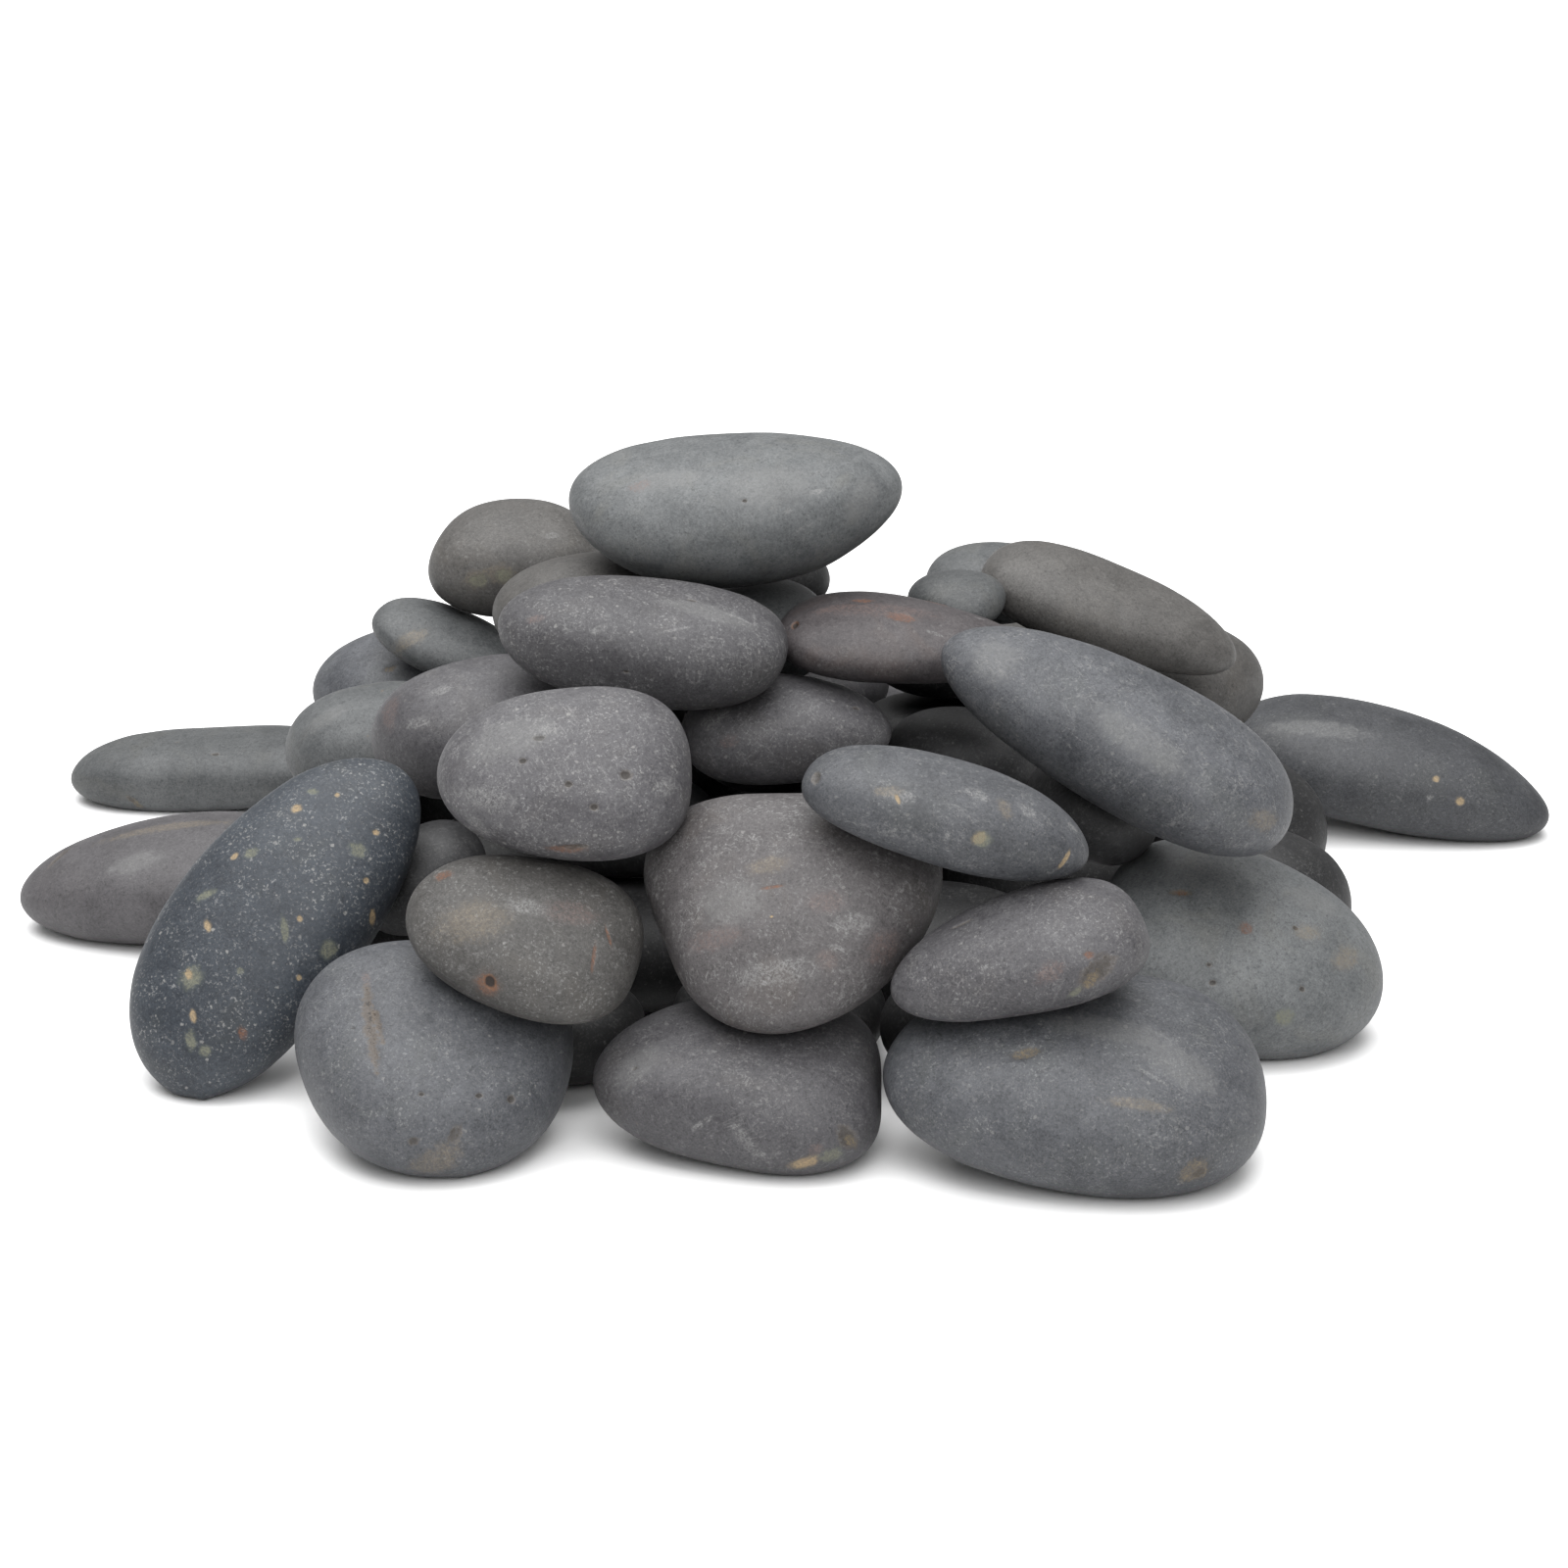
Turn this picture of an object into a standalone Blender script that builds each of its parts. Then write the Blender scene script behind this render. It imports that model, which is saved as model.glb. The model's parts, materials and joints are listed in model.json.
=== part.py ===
# A loose heap of basalt massage stones. Metres, +Z up, seen from -Y.
# Every stone starts at its own place on its own tier. Stones that overlap there push each other apart, as in
# a heap that is tipped out, and then each one moves in along its own way until it touches a neighbour or the
# ground.
from collections import namedtuple
from itertools import combinations
from math import atan2, cos, hypot, pi, radians, sin, tan

import bmesh
import bpy
from mathutils import Euler, Matrix, Vector
from mathutils.bvhtree import BVHTree

MM = 0.001
CLEARANCE = 0.3 * MM        # gap kept between stones that touch
SHOVE = 1.1 * CLEARANCE     # gap that two stones are pushed apart to when they overlap
STOP_SHORT = 1.2 * CLEARANCE  # gap at which a stone that moves in stops
FIRST_TIER = 50 * MM        # height of the middle of a stone that lies on the ground stones
TIER_RISE = 20 * MM         # from one tier's middle to the next
SEAT_DEPTH = 0.9 * MM       # how much of a ground stone's underside is worn flat
ON_PLANE = 1e-7             # how near a corner lies to the cut before it counts as on it
SEEN_CUTS = 4               # cuts along each edge of the cube a seen stone is made from
HIDDEN_CUTS = 3             # the same for a hidden stone
FAR = 1.0                   # further than any two stones are apart
JOSTLE_ROUNDS = 150         # most rounds of pushing apart
SETTLE_PASSES = 3           # times that every stone moves in, because one that moves makes room for others
SEEN_GIVES = 0.25           # how readily a seen stone gives way, where a hidden one is 1

# The ways that stones move in at the end.
DOWN = Vector((0, 0, -1))
IN_FROM_FRONT = Vector((0, cos(radians(20)), -sin(radians(20))))
BACK, FORWARD = Vector((0, 1, 0)), Vector((0, -1, 0))
RIGHT, LEFT = Vector((1, 0, 0)), Vector((-1, 0, 0))

# Sizes and places are in millimetres and angles in degrees. turn is about the vertical, bank lifts the +X
# end, lean tips the top face towards -Y. tier is what a stone starts on: 0 is the ground, 1 is the stones on
# the ground, and so on, with a half for a stone that lies across two tiers. taper widens the +X end, and full
# is 2 for an ellipsoid and more for a squarer stone. plan and side give the outline three soft corners, from
# above and from the front: how far they reach, as a share of the outline, and the angle of one from +X.
Stone = namedtuple("Stone", "length width thick turn bank lean x y tier way colour taper full plan side",
                   defaults=("dark", 0.0, 2.3, (0.06, 40), (0.03, 90)))

HIDDEN_STONES = {
    "core_middle": Stone(76, 58, 34, 10, 0, 0, 0, 6, 0, RIGHT),
    "core_left": Stone(64, 56, 34, 80, 0, 0, -66, 4, 0, RIGHT),
    "core_right": Stone(64, 54, 34, -70, 0, 0, 66, 10, 0, LEFT),
    "core_front_left": Stone(60, 44, 32, 20, 0, 0, -40, -44, 0, BACK),
    "core_front_right": Stone(62, 44, 32, -15, 0, 0, 38, -42, 0, BACK),
    "core_back": Stone(72, 54, 34, 0, 0, 0, 0, 62, 0, FORWARD),
    "core_side_left": Stone(42, 44, 40, 10, 0, 0, -106, -26, 0, RIGHT),
    "core_side_right": Stone(52, 44, 36, -30, 0, 0, 108, -18, 0, LEFT),
    "core_far_left": Stone(58, 46, 38, 50, 0, 0, -108, 36, 0, RIGHT),
    "core_far_right": Stone(58, 46, 40, -50, 0, 0, 114, 38, 0, LEFT),
    "front_low_left": Stone(46, 40, 24, 0, 0, 0, -55, -80, 0, BACK),
    "front_low_middle": Stone(52, 48, 26, 0, 0, 0, 2, -84, 0, BACK),
    "front_low_right": Stone(58, 40, 32, 0, 0, 0, 60, -88, 0, BACK),
    "back_low_left": Stone(82, 52, 36, 20, 0, 0, -84, 96, 0, RIGHT),
    "back_low_right": Stone(82, 52, 36, -20, 0, 0, 82, 94, 0, LEFT),
    "back_low_middle": Stone(92, 52, 34, 4, 0, 0, 0, 118, 0, FORWARD),
    "fill_left": Stone(50, 42, 26, 30, 0, 0, -42, 34, 1, DOWN),
    "fill_right": Stone(52, 42, 26, -20, 0, 0, 42, 30, 1, DOWN),
    "fill_front_left": Stone(46, 38, 24, 10, 0, 0, -38, -24, 1, DOWN),
    "fill_front_right": Stone(46, 38, 24, 10, 0, 0, 14, -26, 1, DOWN),
    "back_mid_left": Stone(60, 46, 28, 30, 0, 0, -44, 94, 1, DOWN, "blue_grey"),
    "back_mid_right": Stone(62, 46, 28, -30, 0, 0, 52, 94, 1, DOWN, "brown_grey"),
    "mid_left": Stone(46, 38, 29, 10, 0, 0, -46, 14, 2, DOWN),
    "mid_middle": Stone(52, 42, 28, -10, 0, 0, 0, 6, 2, DOWN),
    "mid_right": Stone(44, 36, 16, 20, 0, 0, 48, 30, 2, DOWN),
    "behind_crown": Stone(54, 34, 20, 0, 0, 0, -14, 42, 3, DOWN),
    "back_top": Stone(60, 44, 26, 10, 0, 0, 0, 60, 2, DOWN, "blue_grey"),
}

SEEN_STONES = {
    "left_bar": Stone(80, 34, 19, 2, 2, 4, -156, 106, 0, RIGHT, "green_grey", full=2.7, plan=(0.04, 180)),
    "far_right": Stone(94, 48, 29, -16, -9, 4, 161, 88, 0, LEFT, "blue_grey",
                       taper=-0.05, full=2.2, plan=(0.05, 0), side=(0.08, 90)),
    "left_long": Stone(78, 46, 29, -2, 6, 6, -156, 12, 0, RIGHT, "mauve_grey",
                       taper=0.1, full=2.2, plan=(0.05, 180)),
    "left_hidden": Stone(48, 42, 26, 20, 6, 8, -101, 60, 1, DOWN, "blue_grey"),
    "right_behind": Stone(48, 42, 28, -15, -8, 8, 104, 60, 1, DOWN, "brown_grey"),
    "back_left": Stone(46, 40, 28, 0, 0, 10, -72, 60, 2.5, DOWN, "brown_grey", plan=(0.06, 90)),
    "back_right_small": Stone(34, 30, 18, 0, 0, 10, 56, 60, 2.5, DOWN, "green_grey"),
    "left_leaner": Stone(46, 29, 14, -10, -22, 8, -86, 46, 2, DOWN, "green_grey",
                         taper=0.05, full=2.2, plan=(0.05, 0)),
    "upper_right": Stone(70, 35, 20, -12, -18, 8, 82, 35, 2.5, DOWN, "brown_grey",
                         taper=-0.1, plan=(0.04, 0)),
    "back_dark_small": Stone(25, 24, 12, 0, 0, 8, 45, 18, 3, DOWN, "dark"),
    "dark_fleck": Stone(36, 28, 22, -20, -14, 8, 68, 10, 2, DOWN, "dark"),
    "left_seam": Stone(46, 38, 28, 10, 6, 10, -105, 22, 1, DOWN, "green_grey", full=2.4),
    "shoulder": Stone(48, 38, 24, 4, 4, 10, -47, 10, 3, DOWN, "brown_grey"),
    "under_crown": Stone(38, 34, 26, 0, 4, 6, -5, 10, 3, DOWN, "green_grey"),
    "crown": Stone(83, 54, 35, 0, 3, 8, -15, 10, 4, DOWN, "green_grey",
                   full=2.1, plan=(0.05, 0), side=(0.09, -90)),
    "mauve": Stone(54, 40, 32, 10, 8, 12, -75, -33, 2, IN_FROM_FRONT, "purple_grey"),
    "rust": Stone(66, 36, 17, -4, -4, 8, 27, -12, 3, DOWN, "brown_grey",
                  taper=-0.22, full=2.1, plan=(0.04, 0), side=(0.05, 90)),
    "dark_centre": Stone(40, 30, 22, -10, -8, 8, 49, -30, 1.5, IN_FROM_FRONT, "dark"),
    "dark_gap": Stone(34, 30, 24, -20, -20, 0, 74, -46, 1, IN_FROM_FRONT, "dark"),
    "bridge": Stone(72, 40, 28, 0, -6, 10, -33, -61, 3.5, IN_FROM_FRONT, "purple_grey",
                    plan=(0.04, 180), side=(0.03, -90)),
    "right_base": Stone(72, 58, 34, -8, -14, 26, 105, -60, 0, BACK, "green_grey", full=2.4, plan=(0.07, 0)),
    "long_diag": Stone(94, 42, 28, -14, -25, 16, 81, -68, 2.5, IN_FROM_FRONT, "blue_grey",
                       taper=0.1, plan=(0.03, 60)),
    "small_mid": Stone(52, 34, 24, 0, 0, 10, -1, -56, 2.5, IN_FROM_FRONT, "purple_grey",
                       taper=-0.1, plan=(0.05, 0)),
    "wedge": Stone(34, 26, 22, 20, 30, 10, -88, -58, 0.5, IN_FROM_FRONT, "dark"),
    "speckled": Stone(96, 48, 31, 40, 42, 30, -122, -84, 0, BACK, "speckled",
                      taper=-0.06, full=2.2, plan=(0.03, 90)),
    "mitt": Stone(59, 44, 27, 0, 0, 36, -50, -103, 2.5, IN_FROM_FRONT, "purple_grey",
                  taper=0.06, full=2.4, plan=(0.04, 60)),
    "tan_chips": Stone(68, 30, 21, -8, -14, 12, 34, -117, 2, IN_FROM_FRONT, "blue_grey",
                       taper=0.06, plan=(0.05, 0), side=(0.05, 90)),
    "brown_pit": Stone(55, 40, 22, -6, -14, 38, -62, -116, 0.5, IN_FROM_FRONT, "brown_grey",
                       full=2.4, plan=(0.05, 180)),
    "centre": Stone(67, 60, 28, 0, 6, 42, 4, -116, 1, IN_FROM_FRONT, "purple_grey",
                    taper=0.05, plan=(0.11, 18)),
    "nose_chip": Stone(60, 34, 22, 6, 15, 16, 53, -131, 1, IN_FROM_FRONT, "purple_grey",
                       taper=0.1, plan=(0.06, 180)),
    "front_left": Stone(64, 64, 32, 8, -4, 28, -77, -130, 0, BACK, "blue_grey", full=2.4, plan=(0.05, -90)),
    "front_middle": Stone(67, 50, 30, 0, -3, 16, -8, -130, 0, BACK, "purple_grey",
                          taper=0.05, full=2.4, plan=(0.09, 180)),
    "front_right": Stone(88, 60, 35, 0, -4, 22, 67, -136, 0, BACK, "blue_grey",
                         taper=0.08, plan=(0.03, 180)),
}

COLOURS = {
    "blue_grey": (0.060, 0.068, 0.076),
    "purple_grey": (0.072, 0.068, 0.074),
    "mauve_grey": (0.090, 0.084, 0.088),
    "green_grey": (0.070, 0.076, 0.072),
    "brown_grey": (0.082, 0.076, 0.070),
    "speckled": (0.064, 0.074, 0.086),
    "dark": (0.040, 0.042, 0.045),
}


def clear_scene():
    for old in list(bpy.data.objects):
        bpy.data.objects.remove(old, do_unlink=True)


def rounded_cube(cuts):
    # A cube whose vertices are spread by equal angles and put on the unit sphere.
    bm = bmesh.new()
    bmesh.ops.create_cube(bm, size=2.0)
    bmesh.ops.subdivide_edges(bm, edges=bm.edges[:], cuts=cuts, use_grid_fill=True)
    for v in bm.verts:
        v.co = Vector([tan(c * pi / 4) for c in v.co]).normalized()
    bmesh.ops.triangulate(bm, faces=bm.faces[:])
    return bm


def cornered(along, across, reach, towards):
    # How much further out an outline with three soft corners lies in one direction than a round one.
    angle = atan2(across, along) - radians(towards)
    return 1 + reach * hypot(along, across) ** 3 * cos(3 * angle)


def shape_stone(bm, stone):
    # From the unit sphere to a superellipsoid with its own corners and taper.
    half = Vector((stone.length, stone.width, stone.thick)) * (MM / 2)
    for v in bm.verts:
        plan = cornered(v.co.x, v.co.y, *stone.plan)
        side = cornered(v.co.x, v.co.z, *stone.side)
        unit = v.co * sum(abs(c) ** stone.full for c in v.co) ** (-1 / stone.full)
        widen = 1 + stone.taper * unit.x
        shaped = Vector((unit.x * plan * side, unit.y * plan * widen, unit.z * side * widen))
        v.co = shaped * half


def turning(stone):
    heading = Matrix.Rotation(radians(stone.turn), 4, "Z")
    return heading @ Euler((radians(stone.lean), -radians(stone.bank), 0), "XYZ").to_matrix().to_4x4()


def wear_flat(bm, turned):
    # The underside, as the stone will lie, is cut level and capped.
    lowest = min((turned @ v.co).z for v in bm.verts)
    back = turned.inverted()
    level = back @ Vector((0, 0, lowest + SEAT_DEPTH))
    down = back.to_3x3() @ Vector((0, 0, -1))
    geom = bm.verts[:] + bm.edges[:] + bm.faces[:]
    bmesh.ops.bisect_plane(bm, geom=geom, dist=ON_PLANE, plane_co=level, plane_no=down, clear_outer=True)
    rim = [e for e in bm.edges if e.is_boundary]
    cap = bmesh.ops.holes_fill(bm, edges=rim)["faces"]
    bmesh.ops.triangulate(bm, faces=cap)
    bmesh.ops.recalc_face_normals(bm, faces=bm.faces[:])


class LaidStone:
    # A stone with its turned mesh, which only slides once it is made.
    def __init__(self, name, stone, cuts, gives):
        self.gives = gives
        self.name, self.stone, self.turned = name, stone, turning(stone)
        self.on_ground = stone.tier == 0
        bm = rounded_cube(cuts)
        shape_stone(bm, stone)
        if self.on_ground:
            wear_flat(bm, self.turned)
        self.mesh = bpy.data.meshes.new(name)
        bm.to_mesh(self.mesh)
        self.points = [self.turned @ v.co for v in bm.verts]
        self.tree = BVHTree.FromPolygons(self.points, [[v.index for v in f.verts] for f in bm.faces])
        self.reach = max(p.length for p in self.points)
        self.lowest = min(p.z for p in self.points)
        self.place = Vector((stone.x, stone.y, 0)) * MM
        self.place.z = -self.lowest if self.on_ground else FIRST_TIER + (stone.tier - 1) * TIER_RISE
        bm.free()

    def travel_to(self, other, direction):
        # How far this stone can go along direction before its corners, or the other's, meet a face.
        offset = other.place - self.place
        nearest = FAR
        for p in self.points:
            hit = other.tree.ray_cast(p - offset, direction)
            nearest = min(nearest, hit[3]) if hit[0] else nearest
        for p in other.points:
            hit = self.tree.ray_cast(p + offset, -direction)
            nearest = min(nearest, hit[3]) if hit[0] else nearest
        return nearest

    def near(self, other):
        return (other.place - self.place).length < self.reach + other.reach + CLEARANCE

    def meeting(self, other):
        # Smallest gap between the two, negative where they overlap, and the way out for this stone.
        offset = other.place - self.place
        gap, out = deepest(self.points, other.tree, -offset)
        other_gap, other_out = deepest(other.points, self.tree, offset)
        return (gap, out) if gap < other_gap else (other_gap, -other_out)

    def push(self, shift):
        # A stone on the ground only slides, and any other stays clear of the ground.
        self.place += shift
        self.place.z = -self.lowest if self.on_ground else max(self.place.z, CLEARANCE - self.lowest)


def deepest(points, tree, shift):
    gap, out = FAR, Vector((0, 0, 1))
    for p in points:
        hit, normal, _, distance = tree.find_nearest(p + shift)
        signed = distance if (p + shift - hit).dot(normal) > 0 else -distance
        if signed < gap:
            gap, out = signed, normal
    return gap, out


def jostle(stones):
    for _ in range(JOSTLE_ROUNDS):
        moved = False
        for one, other in combinations(stones, 2):
            if not one.near(other):
                continue
            gap, out = one.meeting(other)
            if gap < CLEARANCE:
                step = out * (SHOVE - gap) / (one.gives + other.gives)
                one.push(step * one.gives)
                other.push(-step * other.gives)
                moved = True
        if not moved:
            break


def settle(stone, stones):
    # In until something is touched.
    way = stone.stone.way
    travel = [stone.travel_to(other, way) for other in stones if other is not stone]
    if not stone.on_ground:
        travel.append((stone.place.z + stone.lowest) / -way.z)
    stone.place += way * max(min(travel) - STOP_SHORT, 0)


def lay_stones():
    stones = [LaidStone(name, stone, HIDDEN_CUTS, 1.0) for name, stone in HIDDEN_STONES.items()]
    stones += [LaidStone(name, stone, SEEN_CUTS, SEEN_GIVES) for name, stone in SEEN_STONES.items()]
    jostle(stones)
    for stone in stones * SETTLE_PASSES:
        settle(stone, stones)
    jostle(stones)
    return stones


def finish_material(name, colour):
    mat = bpy.data.materials.new(name + "_basalt")
    mat.use_nodes = True
    shader = mat.node_tree.nodes["Principled BSDF"]
    shader.inputs["Base Color"].default_value = (*colour, 1)
    shader.inputs["Roughness"].default_value = 0.6
    shader.inputs["Metallic"].default_value = 0.0
    return mat


def heap_centre(laid):
    xs = [s.place.x + p.x for s in laid for p in s.points]
    ys = [s.place.y + p.y for s in laid for p in s.points]
    return Vector(((min(xs) + max(xs)) / 2, (min(ys) + max(ys)) / 2, 0))


def make_objects(laid):
    heap = bpy.data.collections.new("massage_stone_heap")
    bpy.context.scene.collection.children.link(heap)
    centre = heap_centre(laid)
    for stone in laid:
        stone.mesh.materials.append(finish_material(stone.name, COLOURS[stone.stone.colour]))
        stone.mesh.shade_smooth()
        obj = bpy.data.objects.new(stone.name, stone.mesh)
        obj.location = stone.place - centre
        obj.rotation_euler = stone.turned.to_euler()
        heap.objects.link(obj)


def main():
    clear_scene()
    make_objects(lay_stones())


main()
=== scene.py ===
# Heap of basalt massage stones. Every stone gets a smooth tumbled body, its own marks and its own basalt.
import json
from math import cos, pi, radians, sin

import bmesh
import bpy
import numpy as np
from mathutils import Matrix, Vector, noise
from mathutils.bvhtree import BVHTree


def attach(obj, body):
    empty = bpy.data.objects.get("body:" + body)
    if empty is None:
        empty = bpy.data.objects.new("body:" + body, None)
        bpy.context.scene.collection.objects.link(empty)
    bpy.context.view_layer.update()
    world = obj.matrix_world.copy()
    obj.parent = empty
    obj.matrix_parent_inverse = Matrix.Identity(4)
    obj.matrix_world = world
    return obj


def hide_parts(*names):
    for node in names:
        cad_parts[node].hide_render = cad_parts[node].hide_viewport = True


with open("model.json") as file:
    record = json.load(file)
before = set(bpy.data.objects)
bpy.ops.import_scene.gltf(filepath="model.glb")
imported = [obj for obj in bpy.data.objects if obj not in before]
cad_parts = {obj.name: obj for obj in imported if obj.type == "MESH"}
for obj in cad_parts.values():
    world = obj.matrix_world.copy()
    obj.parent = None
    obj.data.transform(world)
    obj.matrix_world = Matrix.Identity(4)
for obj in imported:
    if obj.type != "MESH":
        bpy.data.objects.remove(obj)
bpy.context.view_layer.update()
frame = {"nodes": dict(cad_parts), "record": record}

mm = 0.001
heap = frame["nodes"]
bodyOf = {node: body for body, nodes in frame["record"]["behaviour"]["bodies"].items() for node in nodes}


shot = dict(lens=103.5, distance=1.15, elevation=20, aim=(-0.0056, 0.0085, 0.043))


def addCamera():
    camera = bpy.data.objects.new("studioCamera", bpy.data.cameras.new("studioCamera"))
    bpy.context.scene.collection.objects.link(camera)
    rise = radians(shot["elevation"])
    camera.location = Vector(shot["aim"]) + Vector((0, -cos(rise), sin(rise))) * shot["distance"]
    camera.rotation_euler = (pi / 2 - rise, 0, 0)
    camera.data.lens = shot["lens"]
    bpy.context.scene.camera = camera


addCamera()
print("camera set")


class Tap:
    # A socket's value on its way through a material, which sums and products can be written with.
    def __init__(self, desk, socket):
        self.desk, self.socket = desk, socket

    def calc(self, operation, *others):
        values = dict(enumerate((self, *others)))
        return self.desk.put("ShaderNodeMath", dict(operation=operation), values)

    def __add__(self, other):
        return self.calc("ADD", other)

    def __sub__(self, other):
        return self.calc("SUBTRACT", other)

    def __rsub__(self, other):
        return (self * -1).calc("ADD", other)

    def __mul__(self, other):
        return self.calc("MULTIPLY", other)

    __radd__ = __add__
    __rmul__ = __mul__

    def __pow__(self, other):
        return self.calc("POWER", other)

    def capped(self):
        return self.desk.put("ShaderNodeClamp", {}, {"Value": self})

    def fade(self, start, end):
        # 0 at start and 1 at end, smooth in between.
        values = {"Value": self, "From Min": start, "From Max": end}
        return self.desk.put("ShaderNodeMapRange", dict(interpolation_type="SMOOTHSTEP"), values)


class Desk:
    # A material being wired up.
    def __init__(self, name):
        self.material = bpy.data.materials.new(name)
        self.material.use_nodes = True
        self.tree = self.material.node_tree
        self.shader = self.tree.nodes["Principled BSDF"]

    def feed(self, socket, value):
        if isinstance(value, Tap):
            self.tree.links.new(value.socket, socket)
        elif socket.type == "RGBA":
            socket.default_value = (*value[:3], 1)
        else:
            socket.default_value = value

    def put(self, kind, settings, values, output=0):
        node = self.tree.nodes.new(kind)
        for key, value in settings.items():
            setattr(node, key, value)
        for key, value in values.items():
            self.feed(node.inputs[key], value)
        return Tap(self, node.outputs[output])

    def mix(self, amount, under, over):
        sockets = {0: amount, 6: under, 7: over}  # factor, A and B of a colour mix
        return self.put("ShaderNodeMix", dict(data_type="RGBA"), sockets, output=2)

    def across(self, operation, one, other, output=0):
        return self.put("ShaderNodeVectorMath", dict(operation=operation), {0: one, 1: other}, output)

    def cloud(self, place, size, detail=2.0, rough=0.5, swirl=0.0):
        # Soft noise whose lumps are about size metres across, from 0 to 1.
        values = {"Vector": place, "Scale": 1 / size,
                  "Detail": detail, "Roughness": rough, "Distortion": swirl}
        return self.put("ShaderNodeTexNoise", {}, values)

    def cells(self, place, size, output="Distance"):
        # Scattered points about size metres apart: how far off the nearest is, or its own random colour.
        return self.put("ShaderNodeTexVoronoi", {}, {"Vector": place, "Scale": 1 / size}, output)

    def channel(self, colour, output):
        return self.put("ShaderNodeSeparateColor", {}, {"Color": colour}, output)


# Colours are linear. dark and light are the two tones of the ground mass, and tint is what drifts over it.
basalts = {
    "blueGrey": dict(dark=(0.035, 0.037, 0.042), light=(0.088, 0.091, 0.099), tint=(0.074, 0.078, 0.077)),
    "purpleGrey": dict(dark=(0.039, 0.037, 0.041), light=(0.089, 0.087, 0.092), tint=(0.080, 0.075, 0.074)),
    "warmGrey": dict(dark=(0.041, 0.037, 0.038), light=(0.092, 0.086, 0.087), tint=(0.090, 0.076, 0.067)),
    "mauveGrey": dict(dark=(0.052, 0.049, 0.052), light=(0.102, 0.097, 0.102), tint=(0.094, 0.088, 0.090)),
    "greenGrey": dict(dark=(0.044, 0.047, 0.049), light=(0.099, 0.103, 0.105), tint=(0.090, 0.089, 0.080)),
    "brownGrey": dict(dark=(0.041, 0.039, 0.037), light=(0.088, 0.084, 0.080), tint=(0.080, 0.073, 0.064)),
    "rustGrey": dict(dark=(0.039, 0.034, 0.036), light=(0.086, 0.077, 0.079), tint=(0.086, 0.064, 0.056)),
    "speckled": dict(dark=(0.018, 0.022, 0.029), light=(0.045, 0.053, 0.064), tint=(0.044, 0.048, 0.048)),
    # The dark basalt is partly the dark stones' own colour and partly painted shade: it is darkened further
    # so that stones seen through the gaps of the heap look black.
    "dark": dict(dark=(0.016, 0.016, 0.017), light=(0.038, 0.038, 0.040), tint=(0.032, 0.032, 0.030)),
}

# What a mark is filled with: the colours of its floor and rim, how deep it is dug, how ragged its rim is, how
# much it covers and how far crumbs of the stone break it up.
fills = {
    "tan": dict(colour=(0.27, 0.20, 0.115), rim=(0.15, 0.12, 0.08),
                deep=0.10 * mm, ragged=0.7, cover=0.90, broken=0.5),
    "olive": dict(colour=(0.135, 0.135, 0.098), rim=(0.09, 0.10, 0.08),
                  deep=0.05 * mm, ragged=0.9, cover=0.7, broken=0.6),
    "rust": dict(colour=(0.145, 0.062, 0.032), rim=(0.09, 0.055, 0.04),
                 deep=0.10 * mm, ragged=0.7, cover=0.6, broken=0.7),
    "redHaze": dict(colour=(0.112, 0.077, 0.068), rim=(0.09, 0.07, 0.068),
                    deep=0, ragged=0.9, cover=0.45, broken=0.9),
    "chalk": dict(colour=(0.20, 0.198, 0.195), rim=(0.13, 0.13, 0.13),
                  deep=0, ragged=1.0, cover=0.42, broken=0.9),
    "haze": dict(colour=(0.135, 0.135, 0.133), rim=(0.11, 0.11, 0.11),
                 deep=0, ragged=0.9, cover=0.35, broken=0.5),
    "tanHaze": dict(colour=(0.150, 0.122, 0.086), rim=(0.11, 0.095, 0.075),
                    deep=0, ragged=0.9, cover=0.40, broken=0.7),
    # The near-black floor of a pit is painted shade in its hollow.
    "pit": dict(colour=(0.022, 0.019, 0.017), rim=(0.13, 0.115, 0.10),
                deep=0.55 * mm, ragged=0.75, cover=0.85, broken=0.2),
    # The near-black floor of a brown pit is painted shade; its rust rim is a stain.
    "brownPit": dict(colour=(0.018, 0.015, 0.014), rim=(0.14, 0.065, 0.03),
                     deep=0.7 * mm, ragged=0.4, cover=0.95, broken=0),
    "chip": dict(colour=(0.135, 0.108, 0.072), rim=(0.028, 0.025, 0.023),
                 deep=0.45 * mm, ragged=0.9, cover=0.85, broken=0.8),
    "scar": dict(colour=(0.040, 0.036, 0.032), rim=(0.12, 0.10, 0.08),
                 deep=0.60 * mm, ragged=1.0, cover=0.85, broken=0.6),
}

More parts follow.
